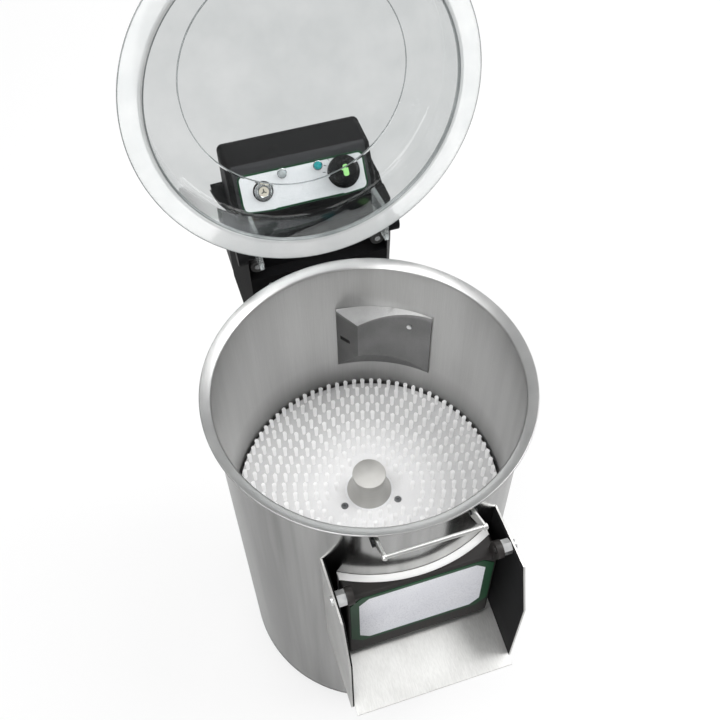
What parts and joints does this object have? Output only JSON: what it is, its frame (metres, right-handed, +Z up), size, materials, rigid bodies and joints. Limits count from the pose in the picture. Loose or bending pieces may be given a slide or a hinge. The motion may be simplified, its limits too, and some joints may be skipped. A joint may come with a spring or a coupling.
{
  "type": "mussel cleaning machine",
  "caption": "Floor-standing mussel cleaner: round steel tub with spinning brush disc, hinged clear lid, rear control box with timer knob, and front discharge chute with a door.",
  "frame": {"origin": "tub axis at floor level, in the plane of the feet", "axes": "+Z up along the tub axis, -Y towards the discharge chute, +X to the right seen from the chute"},
  "size_m": [0.4079, 0.6325, 1.0697],
  "materials": {
    "polished_steel": "satin inside, bright outside",
    "brushed_steel": "brushed",
    "bolt_steel": "plated",
    "rubber": "matt",
    "pipe_steel": "drawn",
    "cast_aluminium": "satin cast",
    "turned_aluminium": "fine turned",
    "bearing_steel": "ground",
    "cast_iron": "machined",
    "motor_paint": "semi-gloss paint",
    "black_plastic": "fine grain moulded",
    "white_plastic": "machined polyethylene",
    "nylon": "extruded filaments",
    "copper": "drawn",
    "ivory_plastic": "moulded",
    "label_white": "printed film",
    "pointer_green": "moulded insert",
    "chrome": "polished",
    "lamp_clear": "clear lens",
    "lamp_green": "tinted lens",
    "clear_lid": "clear moulded polycarbonate"
  },
  "bodies": {
    "machine": {"tub_shell": "polished_steel", "tub_floor": "brushed_steel", "base_plate": "brushed_steel", "rubber_feet": "rubber", "foot_bolts": "bolt_steel", "drain_pipe": "pipe_steel", "bearing_housing": "cast_aluminium", "bearing_bolts": "bolt_steel", "shaft_bearings": "bearing_steel", "shaft_seal": "rubber", "drive_belt": "rubber", "motor_body": "motor_paint", "motor_fan_cover": "motor_paint", "motor_terminal_box": "black_plastic", "motor_plate": "bolt_steel", "motor_hangers": "bolt_steel", "wall_deflector": "cast_aluminium", "deflector_screw": "bolt_steel", "water_pipe": "copper", "solenoid_valve": "black_plastic", "rear_housing": "black_plastic", "saddle_bracket": "brushed_steel", "rear_cover": "black_plastic", "cover_screws": "bolt_steel", "cable_gland": "black_plastic", "contactor": "ivory_plastic", "control_box": "black_plastic", "control_label": "label_white", "timer_body": "ivory_plastic", "button_bezel": "chrome", "button_switch": "black_plastic", "lamp_clear": "lamp_clear", "lamp_green": "lamp_green", "hinge_pins": "bolt_steel", "lid_bumpers": "rubber", "chute_cheeks": "polished_steel", "cheek_liners": "black_plastic", "chute_tray": "polished_steel", "pivot_bolts": "bolt_steel", "bail_lugs": "brushed_steel"},
    "rotor": {"main_shaft": "bearing_steel", "drive_hub": "turned_aluminium", "driven_pulley": "cast_iron"},
    "motor_rotor": {"motor_shaft": "bearing_steel", "motor_pulley": "cast_iron"},
    "disc": {"brush_disc": "white_plastic", "bristles": "nylon", "disc_knob": "turned_aluminium", "disc_screws": "bolt_steel"},
    "lid": {"lid_pan": "clear_lid", "lid_arms": "clear_lid"},
    "dial": {"timer_shaft": "bearing_steel", "timer_knob": "black_plastic", "knob_pointer": "pointer_green"},
    "button": {"stop_button": "ivory_plastic"},
    "door": {"discharge_door": "black_plastic", "door_seal": "white_plastic", "door_label": "label_white"},
    "bail": {"bail_arms": "brushed_steel", "bail_bar": "brushed_steel"}
  },
  "joints": [
    {"name": "disc_spin", "type": "hinge", "parent": "machine", "child": "rotor", "pos_m": [0, 0, 0.3], "axis": [0, 0, 1], "continuous": true},
    {"name": "motor_spin", "type": "hinge", "parent": "machine", "child": "motor_rotor", "pos_m": [0.128, 0, 0.12], "axis": [0, 0, 1], "continuous": true},
    {"name": "disc_lift", "type": "slide", "parent": "rotor", "child": "disc", "axis": [0, 0, 1], "range_m": [0, 0.025]},
    {"name": "lid_hinge", "type": "hinge", "parent": "machine", "child": "lid", "pos_m": [0, 0.206, 0.66], "axis": [1, 0, 0], "range_deg": [0, 101.5]},
    {"name": "timer_turn", "type": "hinge", "parent": "machine", "child": "dial", "pos_m": [0.053, 0.26782, 0.70599], "axis": [0, -0.848, 0.5299], "range_deg": [-300, 0]},
    {"name": "button_press", "type": "slide", "parent": "machine", "child": "button", "axis": [0, 0.848, -0.5299], "range_m": [0, 0.003], "stiffness_N_per_m": 600, "springref_m": -0.002},
    {"name": "door_hinge", "type": "hinge", "parent": "machine", "child": "door", "pos_m": [0, -0.204, 0.517], "axis": [-1, 0, 0], "range_deg": [0, 65]},
    {"name": "bail_hinge", "type": "hinge", "parent": "machine", "child": "bail", "pos_m": [0, -0.19083, 0.606], "axis": [1, 0, 0], "range_deg": [0, 110]}
  ],
  "couplings": [
    {"joint": "motor_spin", "follows": "disc_spin", "ratio": 4}
  ]
}
